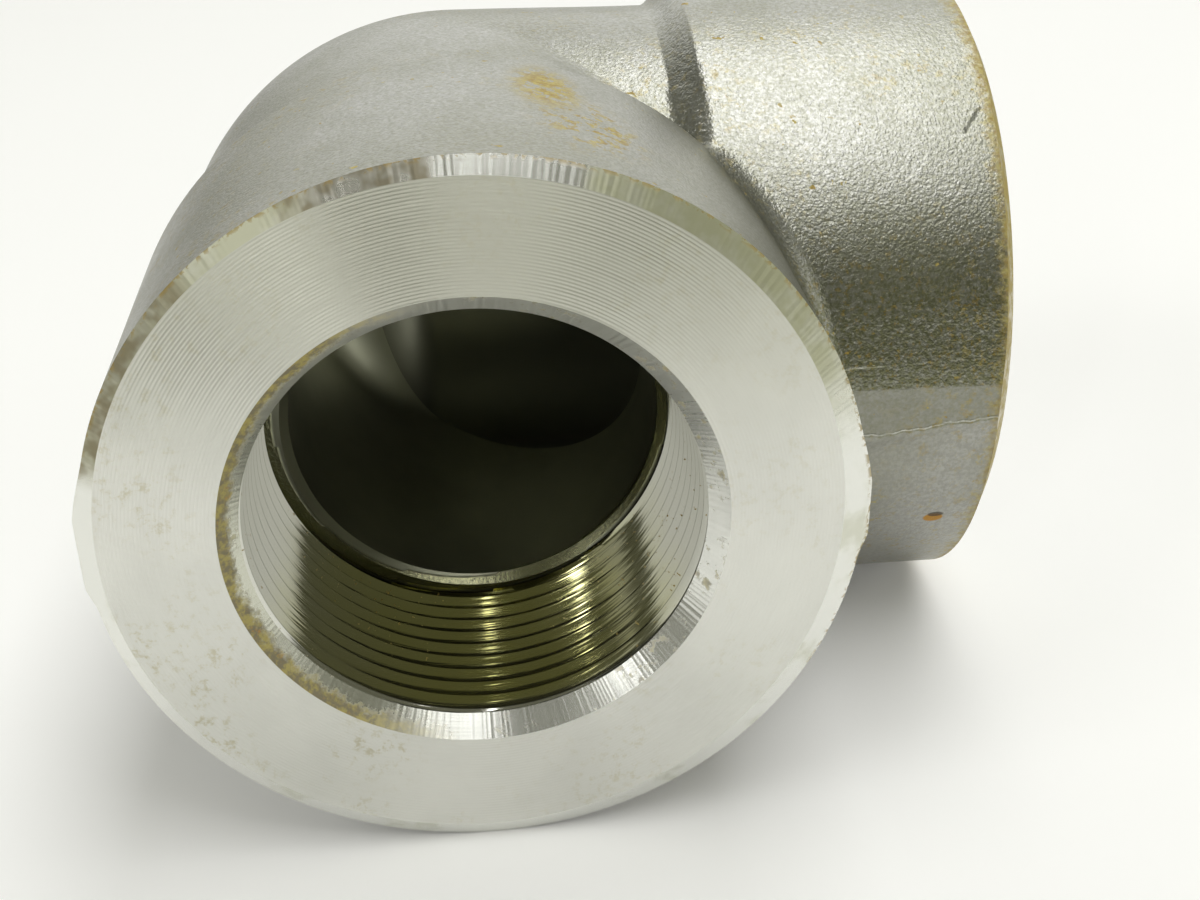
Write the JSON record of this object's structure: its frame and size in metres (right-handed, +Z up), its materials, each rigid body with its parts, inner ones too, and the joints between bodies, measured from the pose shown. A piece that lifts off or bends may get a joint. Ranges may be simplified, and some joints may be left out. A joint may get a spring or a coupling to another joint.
{
  "type": "forged elbow",
  "caption": "Ninety degree forged steel pipe elbow with two banded, threaded socket ends, turning a threaded pipe run through a right angle.",
  "frame": {"origin": "centre of the bounding box's underside; the elbow lies flat, resting on the undersides of its two bands", "axes": "+Z up, square to the plane of the bend; -Y out of one socket mouth; +X out of the other socket mouth"},
  "size_m": [0.0974, 0.0974, 0.075],
  "materials": {
    "forged_steel": "shot-blasted forged skin with light rust, machined end faces, chamfers, threads and bores"
  },
  "bodies": {
    "root": {"elbow_body": "forged_steel"}
  },
  "joints": []
}
